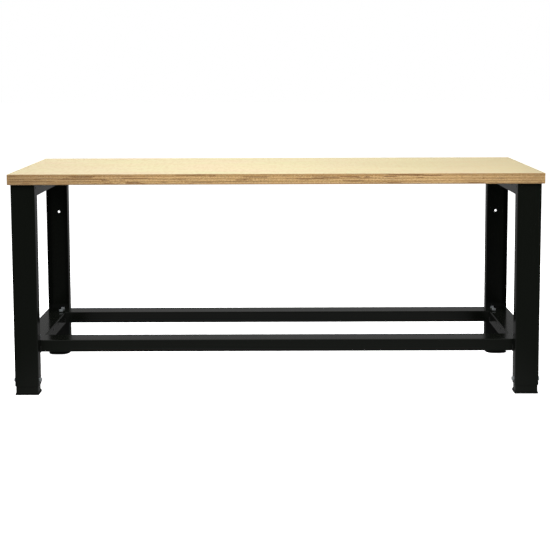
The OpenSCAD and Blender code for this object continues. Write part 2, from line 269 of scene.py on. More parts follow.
def add_shader(graph, handled, normal, metallic=0.0, specular=0.5):
    """Ends a finish with its shader, which takes the colour and roughness of the handling group."""
    shader = graph.add("ShaderNodeBsdfPrincipled", {
        "Base Color": handled["Colour"], "Roughness": handled["Roughness"], "Normal": normal,
        "Metallic": metallic, "Specular IOR Level": specular,
    })
    graph.add("ShaderNodeOutputMaterial", {"Surface": shader.outputs["BSDF"]})


def coated_material(name, groups, base, roughness, unevenness, wave, depth, dust=0.0, **sheen):
    """A sprayed, plated or moulded finish: uneven sheen, dust on its upper faces and fine waves."""
    material, graph, place = new_material(name)
    handled = graph.group(groups["handling"], {
        "Vector": place, "Colour": base, "Roughness": roughness, "Unevenness": unevenness, "Dust": dust,
    })
    skin = graph.group(groups["skin"], {"Vector": place, "Wave": wave, "Depth": depth})
    add_shader(graph, handled, skin["Normal"], **sheen)
    return material


# How squarely a point faces up or down to show veneer, and left or right to show a short side's plies
VENEER_FACING = 0.6
SHORT_SIDE_FACING = 0.7
WARM_VENEER = (0.615, 0.53, 0.368)
# Colour of the painted shade, with a grey tint, that the face takes towards the panel's right end
SHADED_GREY_VENEER = (0.455, 0.40, 0.247)
# Colour of the painted shade on the edges at the panel's ends
PAINTED_END_SHADE = (0.16, 0.085, 0.035)
GRAIN_DEPTH = 0.15 * MILLIMETRE
# Painted shade that darkens the edges towards the panel's ends, where the light falls off: from and to which
# X, and from and to what share
LEFT_END_SHADE, RIGHT_END_SHADE = (-0.5, -0.95, 0.0, 0.5), (0.62, 0.95, 0.0, 0.32)


def plywood_material(settings, groups):
    """Birch plywood: pale rotary-cut face veneers, and plies with glue lines at the edges."""
    material, graph, place = new_material("birch_plywood")
    low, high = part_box("worktop")
    axes = graph.axes(place)
    facing = graph.facing()
    is_face = graph.math("GREATER_THAN", graph.math("ABSOLUTE", facing["Z"]), VENEER_FACING)
    is_short_side = graph.math("GREATER_THAN", graph.math("ABSOLUTE", facing["X"]), SHORT_SIDE_FACING)
    veneer = graph.group(veneer_group(), {
        "Vector": place, "Along": axes["X"],
        "Pale": settings.face_veneer, "Warm": WARM_VENEER, "Grey": SHADED_GREY_VENEER,
    })
    ply = (high[2] - low[2]) / PLY_COUNT
    plies = graph.group(plies_group(), {
        "Along": graph.mix(is_short_side, axes["X"], axes["Y"], "FLOAT"),
        "Level": graph.math("DIVIDE", graph.math("SUBTRACT", axes["Z"], low[2]), ply),
        "Crosswise": is_short_side, "Long grain": settings.long_ply, "End grain": settings.end_ply,
    })
    # Painted shade: the edges grow darker towards both ends of the panel
    left_shade, right_shade = graph.spread(axes["X"], *LEFT_END_SHADE), graph.spread(axes["X"], *RIGHT_END_SHADE)
    edge = graph.mix(graph.math("MAXIMUM", left_shade, right_shade), plies["Colour"], PAINTED_END_SHADE)
    handled = graph.group(groups["handling"], {
        "Vector": place, "Colour": graph.mix(is_face, edge, veneer["Colour"]),
        "Roughness": 0.5, "Unevenness": 0.1, "Dust": 0.0,
    })
    height = graph.mix(is_face, plies["Height"], veneer["Height"], "FLOAT")
    add_shader(graph, handled, graph.bump(height, 0.6, GRAIN_DEPTH), specular=0.4)
    return material


def veneer_group():
    """The face of a rotary-cut veneer: clouds, bands along it, wavy figure, fibres, flecks and mottles, with
    painted shade that greys and darkens it towards the right end.
    """
    tree, graph, given, result = node_group(
        "veneer", {"Vector": "Vector", "Along": "Float", "Pale": "Color", "Warm": "Color", "Grey": "Color"},
        {"Colour": "Color", "Height": "Float"})

    def streaked(x, y, scale, detail, roughness):
        """Noise whose scale is multiplied along the panel by x and across it by y."""
        stretch = graph.add(
            "ShaderNodeVectorMath", {0: given["Vector"], 1: (x, y, 1.0)}, operation="MULTIPLY")
        return graph.noise(stretch.outputs["Vector"], scale, detail, roughness)

    clouds = streaked(1.0, 2.4, scale=2.4, detail=3.0, roughness=0.5)
    bands = streaked(0.35, 5.0, scale=5.0, detail=5.0, roughness=0.62)
    figure = streaked(1.0, 4.0, scale=26.0, detail=3.0, roughness=0.55)
    fibres = streaked(2.0, 110.0, scale=9.0, detail=4.0, roughness=0.7)
    flecks = streaked(8.0, 60.0, scale=14.0, detail=2.0, roughness=0.5)
    mottles = streaked(1.0, 0.2, scale=75.0, detail=3.0, roughness=0.7)
    face = graph.glaze(given["Pale"], (
        (clouds, 0.38, 0.66, 1.0, given["Warm"]),
        # Painted shade with a grey tint: the face greys and darkens towards the right end
        (given["Along"], -0.1, 1.1, 0.8, given["Grey"]),
        (given["Along"], -0.3, -1.1, 0.6, given["Warm"]),
        (bands, 0.42, 0.78, 0.4, (0.56, 0.42, 0.22)),
        (figure, 0.50, 0.66, 0.35, (0.60, 0.44, 0.25)),
        (fibres, 0.38, 0.75, 0.3, (0.50, 0.36, 0.19)),
        (flecks, 0.64, 0.8, 0.35, (0.36, 0.22, 0.11)),
        (mottles, 0.47, 0.60, 0.5, (0.51, 0.395, 0.22)),
    ))
    graph.feed(result.inputs["Colour"], face)
    raised = graph.math("MULTIPLY", fibres, 0.6)
    graph.feed(result.inputs["Height"], graph.math("SUBTRACT", raised, flecks))
    return tree


# How far apart neighbouring plies read their noise
LAYER_STEP = 3.71
# The plies grow darker and lighter in waves up the panel: a darkest ply, and the plies from one to the next
DARKEST_PLY, SHADE_WAVE = 11.0, 5.5


def plies_group():
    """The edge of a plywood panel: each ply in its own tone, with streaks along it and dark glue lines."""
    tree, graph, given, result = node_group(
        "plies",
        {"Along": "Float", "Level": "Float", "Crosswise": "Float",
         "Long grain": "Color", "End grain": "Color"},
        {"Colour": "Color", "Height": "Float"},
    )
    index = graph.math("FLOOR", given["Level"])
    pair = graph.math("FLOOR", graph.math("MULTIPLY", given["Level"], 0.5))

    def along_ply(scale, shift, detail, roughness, layer=index):
        """Noise that runs along a ply and starts afresh in the next."""
        height = graph.math("ADD", graph.math("MULTIPLY", layer, LAYER_STEP), shift)
        return graph.noise(graph.vector(given["Along"], height, 0.0), scale, detail, roughness)

    def across_plies(length_scale, height_scale, shift):
        """Noise that runs along the panel and spreads over neighbouring plies."""
        length = graph.math("MULTIPLY", given["Along"], length_scale)
        height = graph.math("MULTIPLY", given["Level"], height_scale)
        return graph.noise(graph.vector(length, height, shift), scale=1.0, detail=3.0, roughness=0.55)

    tone = graph.add("ShaderNodeTexWhiteNoise", {"W": index}, noise_dimensions="1D").outputs["Value"]
    sheets = along_ply(scale=2.2, shift=0.0, detail=3.0, roughness=0.5)
    lines = along_ply(scale=5.0, shift=80.0, detail=4.0, roughness=0.6, layer=pair)
    streaks = along_ply(scale=5.0, shift=50.0, detail=3.0, roughness=0.55)
    grain = across_plies(length_scale=150.0, height_scale=0.8, shift=0.0)
    shades = across_plies(length_scale=3.5, height_scale=0.45, shift=7.0)
    knots = across_plies(length_scale=8.0, height_scale=0.9, shift=21.0)
    figure = across_plies(length_scale=36.0, height_scale=0.6, shift=33.0)
    wave = graph.math("MULTIPLY", graph.math("SUBTRACT", index, DARKEST_PLY), math.tau / SHADE_WAVE)
    swell = graph.math("COSINE", wave)
    outward = graph.math("ABSOLUTE", graph.math("SUBTRACT", given["Level"], PLY_COUNT / 2))
    within = graph.math("FRACT", given["Level"])
    off_centre = graph.math("ABSOLUTE", graph.math("SUBTRACT", within, 0.5))
    is_odd = graph.math("PINGPONG", index, 1.0)
    shows_end = graph.math("ABSOLUTE", graph.math("SUBTRACT", is_odd, given["Crosswise"]))
    wood = graph.glaze(graph.mix(shows_end, given["Long grain"], given["End grain"]), (
        (tone, 0.55, 1.0, 0.4, (0.35, 0.17, 0.07)),
        (sheets, 0.52, 0.3, 0.5, (0.72, 0.50, 0.23)),
        (sheets, 0.55, 0.72, 0.4, (0.38, 0.18, 0.055)),
        (shades, 0.5, 0.7, 0.3, (0.36, 0.18, 0.055)),
        (figure, 0.52, 0.72, 0.12, (0.22, 0.10, 0.02)),
        (swell, -0.5, 0.9, 0.6, (0.33, 0.165, 0.045)),
        (swell, -0.2, -0.9, 0.4, (0.84, 0.58, 0.31)),
        (grain, 0.5, 0.66, 0.75, (0.22, 0.10, 0.022)),
        (grain, 0.48, 0.34, 0.5, (0.83, 0.61, 0.34)),
        (lines, 0.56, 0.59, 0.75, (0.15, 0.055, 0.012)),
        (streaks, 0.58, 0.68, 0.7, (0.13, 0.05, 0.012)),
        (knots, 0.62, 0.69, 0.85, (0.07, 0.03, 0.014)),
        (outward, PLY_COUNT * 0.33, PLY_COUNT * 0.42, 0.55, (0.27, 0.13, 0.05)),
        (off_centre, 0.42, 0.47, 0.75, (0.12, 0.057, 0.025)),
    ))
    graph.feed(result.inputs["Colour"], wood)
    graph.feed(result.inputs["Height"], grain)
    return tree


FINISHES = {}


def make_materials():
    """Builds each finish once, and returns them by the record's slot names."""
    if FINISHES:
        return FINISHES
    settings = bpy.context.scene.bench_finish
    groups = {"handling": handling_group(), "skin": skin_group()}
    FINISHES.update({
        "birch_plywood": plywood_material(settings, groups),
        "black_powder_coat": coated_material(
            "black_powder_coat", groups, settings.powder_coat, roughness=settings.powder_coat_roughness,
            unevenness=0.05, wave=700.0, depth=0.03 * MILLIMETRE, dust=0.01),
        "bright_zinc": coated_material(
            "bright_zinc", groups, settings.zinc, roughness=0.32,
            unevenness=0.12, wave=1500.0, depth=0.008 * MILLIMETRE, metallic=0.7),
        "black_rubber": coated_material(
            "black_rubber", groups, settings.rubber, roughness=0.72,
            unevenness=0.08, wave=1200.0, depth=0.03 * MILLIMETRE, dust=0.05, specular=0.4),
    })
    return FINISHES


def coat_nodes(names):
    """Gives nodes of the frame the powder coat."""
    for name in names:
        mesh = NODES[name].data
        mesh.materials.clear()
        mesh.materials.append(make_materials()["black_powder_coat"])


# Meshes

SMALLEST_EDGE = 0.001 * MILLIMETRE
SMOOTH_ANGLE = math.radians(35)


def millimetres(*values):
    return [value * MILLIMETRE for value in values]


def halfway(low, high):
    """The middle between two corners."""
    return [(first + last) / 2 for first, last in zip(low, high)]


def bridge(mesh, lower, upper):
    """Joins two rings of vertices with quads."""
    for i in range(len(lower)):
        j = (i + 1) % len(lower)
        mesh.faces.new((lower[i], lower[j], upper[j], upper[i]))


def join_rings(mesh, rings):
    """Joins closed rings of points, each to the next, and returns the first and the last ring."""
    made = [[mesh.verts.new(point) for point in ring] for ring in rings]
    for lower, upper in zip(made, made[1:]):
        bridge(mesh, lower, upper)
    return made[0], made[-1]


def skin_solid(mesh, rings):
    """A solid body over closed rings of points, with a cap at both ends."""
    first, last = join_rings(mesh, rings)
    mesh.faces.new(reversed(first))
    mesh.faces.new(last)


def skin_loop(mesh, rings):
    """A body with a hole through it, over closed rings of points whose last ring meets the first."""
    first, last = join_rings(mesh, rings)
    bridge(mesh, last, first)


def merge_points(mesh):
    """Joins points in one place, and dissolves the faces without area that this leaves."""
    bmesh.ops.remove_doubles(mesh, verts=mesh.verts, dist=SMALLEST_EDGE)
    bmesh.ops.dissolve_degenerate(mesh, edges=mesh.edges, dist=SMALLEST_EDGE)


def finish_mesh(mesh, name, slot, body, nodes, smooth_angle=SMOOTH_ANGLE):
    """Turns a bmesh into a piece that stands for nodes, rides on a body and takes a slot's finish."""
    merge_points(mesh)
    bmesh.ops.recalc_face_normals(mesh, faces=mesh.faces)
    for face in mesh.faces:
        face.smooth = True
    for edge in mesh.edges:
        edge.smooth = len(edge.link_faces) == 2 and edge.calc_face_angle() < smooth_angle
    data = bpy.data.meshes.new(name)
    mesh.to_mesh(data)
    mesh.free()
    data.materials.append(make_materials()[slot])
    piece = bpy.data.objects.new(name, data)
    bpy.context.scene.collection.objects.link(piece)
    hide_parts(*nodes)
    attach(piece, body)


def add_part(mesh, place, build, *sizes):
    """Builds a part about its own origin, moves it to its place and adds it to a mesh."""
    part = bmesh.new()
    build(part, *sizes)
    part.transform(place)
    data = bpy.data.meshes.new("part")
    part.to_mesh(data)
    part.free()
    mesh.from_mesh(data)
    bpy.data.meshes.remove(data)


# Worktop

Void = namedtuple("Void", "along ply width")

ARRIS_RADIUS = 1.5 * MILLIMETRE
ARRIS_STEPS = 3
PANEL_SMOOTH_ANGLE = math.radians(40)
GLUE_HALF_WIDTH = 0.12 * MILLIMETRE
GLUE_DEPTH = 0.12 * MILLIMETRE
OUTLINE_STEP = 0.125
VOID_DEPTH = 5 * MILLIMETRE
VOID_SEED = 7
# The way along each side of the panel, anticlockwise from the front
SIDES = ((1, 0), (0, 1), (-1, 0), (0, -1))
# Gaps in the core at the front edge: place from the middle, ply from the underside, and width
FRONT_VOIDS = (Void(-0.669, 2, 0.010), Void(0.402, 4, 0.008), Void(0.462, 11, 0.007))
# Gaps at the other sides: how many, their reach from the middle as a share of the side, and their widths
VOIDS_PER_SIDE = 4
VOID_REACH = 0.45
VOID_WIDTHS = millimetres(6, 12)
# Plies at the top and at the bottom that these gaps keep clear of
OUTER_PLIES = 3
# Shares of a void's width at which the outline has a point
VOID_POINTS = (-0.5, -0.3, 0.3, 0.5)
# Decimals of the places along a side
PLACE_DECIMALS = 6
# How far a face's middle may lie from the middle of its ply, as a share of the ply
PLY_MIDDLE = 0.3


def panel_rows(low, high):
    """Height and inset of each row of points up the edge: rounded arrises, and a groove at each glue line."""
    turns = [math.pi / 2 * step / ARRIS_STEPS for step in range(ARRIS_STEPS + 1)]
    arris = [((1 - math.cos(turn)) * ARRIS_RADIUS, (1 - math.sin(turn)) * ARRIS_RADIUS) for turn in turns]
    rows = [(low + rise, inset) for rise, inset in arris]
    for index in range(1, PLY_COUNT):
        seam = low + (high - low) * index / PLY_COUNT
        rows += [(seam - GLUE_HALF_WIDTH, 0), (seam, GLUE_DEPTH), (seam + GLUE_HALF_WIDTH, 0)]
    rows += [(high - rise, inset) for rise, inset in reversed(arris)]
    return rows


def side_steps(length, voids):
    """Places along a side where the outline has a point: a regular step, and points at each void."""
    count = round(length / OUTLINE_STEP)
    places = [length * i / count - length / 2 for i in range(1, count)]
    places += [void.along + share * void.width for void in voids for share in VOID_POINTS]
    return sorted({round(place, PLACE_DECIMALS) for place in places})


def panel_outline(low, high, inset, sides):
    """Points round the panel, anticlockwise from the front left corner: a rounded corner, then a side."""
    middle = halfway(low, high)
    half_length, half_depth = (high[0] - low[0]) / 2, (high[1] - low[1]) / 2
    bend = ARRIS_RADIUS - inset
    points = []
    for (cosine, sine), steps in zip(SIDES, sides):
        run, reach = (half_length, half_depth) if cosine else (half_depth, half_length)
        side = []
        for i in range(ARRIS_STEPS + 1):
            angle = math.pi + math.pi / 2 * i / ARRIS_STEPS
            side.append((ARRIS_RADIUS - run + bend * math.cos(angle),
                         ARRIS_RADIUS - reach + bend * math.sin(angle)))
        side += [(step, inset - reach) for step in steps]
        points += [(middle[0] + x * cosine - y * sine, middle[1] + x * sine + y * cosine) for x, y in side]
    return points


def core_voids(rng, side_length):
    """Gaps at chance places in the core along a side."""
    return [Void(along=rng.uniform(-VOID_REACH, VOID_REACH) * side_length,
                 ply=rng.randint(OUTER_PLIES, PLY_COUNT - 1 - OUTER_PLIES),
                 width=rng.uniform(*VOID_WIDTHS)) for each in range(VOIDS_PER_SIDE)]


def hollow_out(mesh, faces, inward):
    """Sinks faces into a body, with new walls round them."""
    sunk = bmesh.ops.extrude_face_region(mesh, geom=faces)["geom"]
    points = [each for each in sunk if isinstance(each, bmesh.types.BMVert)]
    bmesh.ops.translate(mesh, verts=points, vec=inward)
    bmesh.ops.delete(mesh, geom=faces, context="FACES")


def make_worktop():
    """The panel, with a groove at each glue line and a few small gaps in its core."""
    low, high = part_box("worktop")
    rng = random.Random(VOID_SEED)
    length, depth = high[0] - low[0], high[1] - low[1]
    ply = (high[2] - low[2]) / PLY_COUNT
    middle = Vector((*halfway(low, high)[:2], 0))
    voids = [FRONT_VOIDS] + [core_voids(rng, side_length) for side_length in (depth, length, depth)]
    sides = [side_steps(*side) for side in zip((length, depth, length, depth), voids)]
    rings = [[(x, y, height) for x, y in panel_outline(low, high, inset, sides)]
             for height, inset in panel_rows(low[2], high[2])]
    mesh = bmesh.new()
    skin_solid(mesh, rings)
    for (x, y), side_voids in zip(SIDES, voids):
        onward, outward = Vector((x, y, 0)), Vector((y, -x, 0))
        for void in side_voids:
            level = low[2] + (void.ply + 0.5) * ply
            faces = []
            for face in mesh.faces:
                centre = face.calc_center_median() - middle
                in_void = abs(centre.dot(onward) - void.along) < void.width / 2
                in_ply = abs(centre.z - level) < PLY_MIDDLE * ply
                if in_void and in_ply and centre.dot(outward) > 0:
                    faces.append(face)
            hollow_out(mesh, faces, outward * -VOID_DEPTH)
    finish_mesh(mesh, "plywood_panel", "birch_plywood", BENCH, ["worktop"], PANEL_SMOOTH_ANGLE)


# Fasteners

Thread = namedtuple("Thread", "radius depth pitch top tip tip_length")

ROUND_STEPS = 48
WASHER_DIAMETER, WASHER_THICKNESS, WASHER_RIM = millimetres(16, 1.6, 0.3)
# How far the middle of a rounded rim lies in from its corner, as a share of the rim
RIM_BEND = 0.3
BOLT_DIAMETER, BOLT_LENGTH, ACROSS_FLATS, HEAD_HEIGHT, NUT_HEIGHT = millimetres(8, 20, 13, 5.3, 6.5)
BORE_RADIUS = BOLT_DIAMETER / 2 + 0.1 * MILLIMETRE
COUNTERSINK_RADIUS = 1.12 * BORE_RADIUS
COUNTERSINK_DEPTH = 0.6 * MILLIMETRE
WASHER_FACE_RADIUS = 0.47 * ACROSS_FLATS
WASHER_FACE_HEIGHT = 0.3 * MILLIMETRE
SCREW_DIAMETER, SCREW_LENGTH, SCREW_FLATS, SCREW_HEAD = millimetres(6, 32, 10, 4)
FLANGE_RADIUS, FLANGE_HEIGHT, FLANGE_RIM, FLANGE_CHAMFER = millimetres(7.5, 1.2, 0.5, 0.3)
FLANGE_TOP_RADIUS = 0.6 * SCREW_FLATS
# A hexagon's corners are turned away in a cone: the radius where it starts as a share of half the flats
CONE_START = 0.96
CONE_SLOPE = math.tan(math.radians(30))
# Radius and depth of each ring of the dish in a bolt's and a screw's head
BOLT_DISH = ((0.40 * ACROSS_FLATS, 0.0), (0.36 * ACROSS_FLATS, 0.4 * MILLIMETRE), millimetres(0.5, 0.5))
SCREW_DISH = ((0.38 * SCREW_FLATS, 0.0), (0.34 * SCREW_FLATS, 0.4 * MILLIMETRE), millimetres(0.4, 0.4))
# The bolt's thread starts a little way up in its head
BOLT_THREAD = Thread(
    radius=BOLT_DIAMETER / 2, depth=0.68 * MILLIMETRE, pitch=1.25 * MILLIMETRE,
    top=WASHER_THICKNESS + 0.2 * MILLIMETRE, tip=WASHER_THICKNESS - BOLT_LENGTH, tip_length=1.2 * MILLIMETRE)
SCREW_THREAD = Thread(
    radius=SCREW_DIAMETER / 2, depth=1.0 * MILLIMETRE, pitch=2.4 * MILLIMETRE,
    top=0, tip=-SCREW_LENGTH, tip_length=6 * MILLIMETRE)
THREAD_STEPS = 24
# Share of a thread's depth at each row of points up one turn, from root to crest and back
THREAD_PROFILE = (0.0, 0.55, 1.0, 0.55)
# How far in a thread's tip is turned, as a share of the thread's depth
TIP_INSET = 1.3
# Turns that the helix runs on below the tip and, in all, past both ends, before it is clipped to them
TURNS_BELOW, TURNS_PAST = 1.5, 3
BOLT_TURN_SEED, SCREW_TURN_SEED = 3, 5


def turned_rings(profile, steps=ROUND_STEPS):
    """Rings of a turned piece, from (radius, height) pairs."""
    angles = [math.tau * i / steps for i in range(steps)]
    return [[(radius * math.cos(angle), radius * math.sin(angle), height) for angle in angles]
            for radius, height in profile]


def hexagon_rings(flats, height, both_ends=False):
    """Rings of a hexagonal head: the corners are turned away in a cone above, and below if both_ends."""
    angles = [math.tau * i / ROUND_STEPS for i in range(ROUND_STEPS)]
    corner_radii = [flats / 2 / math.cos((angle + math.pi / 6) % (math.pi / 3) - math.pi / 6)
                    for angle in angles]
    end_radii = [flats / 2 * CONE_START] * ROUND_STEPS
    drops = [(corner - end) * CONE_SLOPE for corner, end in zip(corner_radii, end_radii)]

    def ring(radii, heights):
        return [(r * math.cos(a), r * math.sin(a), z) for r, a, z in zip(radii, angles, heights)]

    ground = [0.0] * ROUND_STEPS
    below = [ring(corner_radii, ground)]
    if both_ends:
        below = [ring(end_radii, ground), ring(corner_radii, drops)]
    above = [ring(corner_radii, [height - drop for drop in drops]), ring(end_radii, [height] * ROUND_STEPS)]
    return below + above


def build_thread(mesh, thread):
    """A thread from its top down to its tip: points wound in a helix, clipped to a chamfered end."""
    turn_rows = len(THREAD_PROFILE)
    rows = int((thread.top - thread.tip) / thread.pitch + TURNS_PAST) * turn_rows
    root = thread.radius - thread.depth
    tip_inset = thread.depth * TIP_INSET
    columns = []
    for i in range(THREAD_STEPS):
        angle = math.tau * i / THREAD_STEPS
        column = []
        for j in range(rows):
            turns = j / turn_rows + i / THREAD_STEPS - TURNS_BELOW
            z = min(max(thread.tip + turns * thread.pitch, thread.tip), thread.top)
            chamfer = thread.radius - tip_inset + (z - thread.tip) * tip_inset / thread.tip_length
            radius = min(root + thread.depth * THREAD_PROFILE[j % turn_rows], chamfer)
            if z >= thread.top:
                radius = root
            column.append(mesh.verts.new((radius * math.cos(angle), radius * math.sin(angle), z)))
        columns.append(column)
    for i in range(THREAD_STEPS):
        first = columns[i]
        second = columns[(i + 1) % THREAD_STEPS]
        shift = turn_rows if i == THREAD_STEPS - 1 else 0
        for j in range(rows - shift - 1):
            mesh.faces.new((first[j + shift], second[j], second[j + 1], first[j + shift + 1]))
    merge_points(mesh)
    bmesh.ops.holes_fill(mesh, edges=[edge for edge in mesh.edges if edge.is_boundary], sides=0)


def build_bolt(mesh):
    """A hex bolt whose washer stands on the height 0: a head with a washer face and a dish, and a thread."""
    base = WASHER_THICKNESS + WASHER_FACE_HEIGHT
    top = WASHER_THICKNESS + HEAD_HEIGHT
    face = turned_rings([(WASHER_FACE_RADIUS, WASHER_THICKNESS), (WASHER_FACE_RADIUS, base)])
    flats = [[(x, y, z + base) for x, y, z in ring]
             for ring in hexagon_rings(ACROSS_FLATS, HEAD_HEIGHT - WASHER_FACE_HEIGHT)]
    dish = turned_rings([(radius, top - depth) for radius, depth in BOLT_DISH])
    skin_solid(mesh, face + flats + dish)
    add_part(mesh, Matrix.Identity(4), build_thread, BOLT_THREAD)


def build_nut(mesh):
    """A hex nut that hangs from the height 0, chamfered at both ends and countersunk."""
    bore = turned_rings([
        (COUNTERSINK_RADIUS, NUT_HEIGHT), (BORE_RADIUS, NUT_HEIGHT - COUNTERSINK_DEPTH),
        (BORE_RADIUS, COUNTERSINK_DEPTH), (COUNTERSINK_RADIUS, 0),
    ])
    skin_loop(mesh, hexagon_rings(ACROSS_FLATS, NUT_HEIGHT, both_ends=True) + bore)
    bmesh.ops.translate(mesh, verts=mesh.verts, vec=(0, 0, -NUT_HEIGHT))


def build_washer(mesh):
    """A flat washer standing on the height 0, with the rounded rim of a blanked part."""
    outer = WASHER_DIAMETER / 2
    bend = WASHER_RIM * RIM_BEND
    rim = [(outer - WASHER_RIM, 0), (outer - bend, bend), (outer, WASHER_RIM)]
    upper_rim = [(radius, WASHER_THICKNESS - height) for radius, height in reversed(rim)]
    skin_loop(mesh, turned_rings([(BORE_RADIUS, 0), *rim, *upper_rim, (BORE_RADIUS, WASHER_THICKNESS)]))


def build_screw(mesh):
    """A flanged hex screw whose flange hangs from the height 0 and whose thread goes up."""
    flange = turned_rings([
        (SCREW_DIAMETER / 2, 0), (FLANGE_RADIUS, 0), (FLANGE_RADIUS, -FLANGE_RIM),
        (FLANGE_RADIUS - FLANGE_CHAMFER, -FLANGE_RIM - FLANGE_CHAMFER), (FLANGE_TOP_RADIUS, -FLANGE_HEIGHT),
    ])
    flats = [[(x, y, -FLANGE_HEIGHT - z) for x, y, z in ring]
             for ring in hexagon_rings(SCREW_FLATS, SCREW_HEAD)]
    dish = turned_rings([(radius, depth - FLANGE_HEIGHT - SCREW_HEAD) for radius, depth in SCREW_DISH])
    skin_solid(mesh, flange + flats + dish)
    add_part(mesh, Matrix.Diagonal((1, 1, -1, 1)), build_thread, SCREW_THREAD)


def seat(origin, outward):
    """A place whose own +Z points outward."""
    return Matrix.Translation(origin) @ Vector(outward).to_track_quat("Z", "Y").to_matrix().to_4x4()


def lap_seats(corner):
    """Where the two bolts of a lap stand on the stretcher, with the depth of their grip."""
    low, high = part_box(f"lap_washers_{corner}")
    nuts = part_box(f"lap_nuts_{corner}")
    middle = halfway(low, high)[0]
    top = high[2] - WASHER_THICKNESS
    grip = top - nuts[1][2]
    radius = WASHER_DIAMETER / 2
    return [(seat((middle, y, top), (0, 0, 1)), grip) for y in (low[1] + radius, high[1] - radius)]


def clamp_seats(corner):
    """Where the two clamp bolts stand on the leg's flanges, with the depth of their grip."""
    low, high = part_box(f"clamp_washers_{corner}")
    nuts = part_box(f"clamp_nuts_{corner}")
    y, z = halfway(low, high)[1:]
    left, right = low[0] + WASHER_THICKNESS, high[0] - WASHER_THICKNESS
    return [(seat((left, y, z), (-1, 0, 0)), nuts[0][0] - left),
            (seat((right, y, z), (1, 0, 0)), right - nuts[1][0])]


def chance_turn(rng):
    """A turn about Z by a chance angle."""
    return Matrix.Rotation(rng.uniform(0, math.tau), 4, "Z")


def make_bolt_sets():
    """Bolts, nuts and washers of each lap and each foot, every hexagon turned its own way."""
    rng = random.Random(BOLT_TURN_SEED)
    for place, seats in (("lap", lap_seats), ("clamp", clamp_seats)):
        for corner in CORNERS:
            meshes = {kind: bmesh.new() for kind in ("bolts", "nuts", "washers")}
            for top, grip in seats(corner):
                bottom = top @ Matrix.Translation((0, 0, -grip))
                add_part(meshes["bolts"], top @ chance_turn(rng), build_bolt)
                add_part(meshes["nuts"], bottom @ chance_turn(rng), build_nut)
                add_part(meshes["washers"], top, build_washer)
                add_part(meshes["washers"], bottom, build_washer)
            for kind, mesh in meshes.items():
                node = f"{place}_{kind}_{corner}"
                finish_mesh(mesh, f"zinc_{node}", "bright_zinc", BENCH, [node])


def make_worktop_screws():
    """The screws up through each top rail."""
    rng = random.Random(SCREW_TURN_SEED)
    for side in ("left", "right"):
        node = f"worktop_screws_{side}"
        low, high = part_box(node)
        middle = halfway(low, high)[0]
        base = low[2] + FLANGE_HEIGHT + SCREW_HEAD
        first, last = low[1] + FLANGE_RADIUS, high[1] - FLANGE_RADIUS
        mesh = bmesh.new()
        for y in (first, (first + last) / 2, last):
            add_part(mesh, Matrix.Translation((middle, y, base)) @ chance_turn(rng), build_screw)
        finish_mesh(mesh, f"zinc_{node}", "bright_zinc", BENCH, [node])


# Foot pads

PAD_HEEL, PAD_TOE, PLUG_RADIUS, PLUG_SPACING, PLUG_SUNK = millimetres(5, 31, 4, 44, 0.5)
PAD_CORNER_STEPS = 10
PLUG_STEPS = 24
# Inset and height of each row of points up a pad, in millimetres: a hollow underside, a soft foot, a groove
# round the rim and a soft upper edge
PAD_ROWS = (
    (1.8, 0.8), (1.6, 0.0), (0.5, 0.0), (0.15, 0.15), (0.0, 0.5), (0.0, 1.3), (0.3, 1.45), (0.3, 1.65),
    (0.0, 1.8), (0.0, 2.6), (0.15, 2.85), (0.5, 3.0),
)
# Inset of each row of points near the top of a plug, and its depth below the top, in millimetres
PLUG_ROWS = ((0.0, 0.8), (0.3, 0.2), (1.0, 0.0))
# Inset and height of each row of points up a rib, in millimetres
RIB_ROWS = ((0.3, 0.0), (0.0, 0.3), (0.0, 1.2))
TREAD_RIBS = 9
# Half a rib's width, as a share of the step from rib to rib
RIB_SHARE = 0.3
TREAD_MARGIN, TREAD_INSET = millimetres(4, 5)


def pad_outline(half_width, half_depth, toe, inset, height):
    """Points round a pad, anticlockwise, with its two large corners on the toe's side of Y."""
    points = []
    for quarter, (x, y) in enumerate(((1, 1), (-1, 1), (-1, -1), (1, -1))):
        corner = (PAD_TOE if y == toe else PAD_HEEL) - inset
        for step in range(PAD_CORNER_STEPS + 1):
            angle = math.pi / 2 * (quarter + step / PAD_CORNER_STEPS)
            points.append((x * (half_width - inset - corner) + corner * math.cos(angle),
                           y * (half_depth - inset - corner) + corner * math.sin(angle), height))
    return points


def toe_reach(half_width, half_depth, across):
    """How far towards the toe a pad's ribs reach at a distance from its middle line."""
    radius = PAD_TOE - TREAD_INSET
    past = max(0.0, across - (half_width - PAD_TOE))
    return half_depth - PAD_TOE + math.sqrt(radius ** 2 - past ** 2)


def build_tread(mesh, half_width, half_depth, toe):
    """Ribs under a pad, from its heel to its rounded toe."""
    step = 2 * (half_width - TREAD_MARGIN) / TREAD_RIBS
    half_rib = step * RIB_SHARE
    for rib in range(TREAD_RIBS):
        centre = (rib + 0.5 - TREAD_RIBS / 2) * step
        rings = []
        for inset, height in (millimetres(*row) for row in RIB_ROWS):
            left, right = centre - half_rib + inset, centre + half_rib - inset
            to_toe = toe_reach(half_width, half_depth, abs(centre) + half_rib) - inset
            to_heel = half_depth - TREAD_INSET - inset
            near, far = sorted((toe * to_toe, -toe * to_heel))
            rings.append([(left, near, height), (right, near, height),
                          (right, far, height), (left, far, height)])
        skin_solid(mesh, rings)


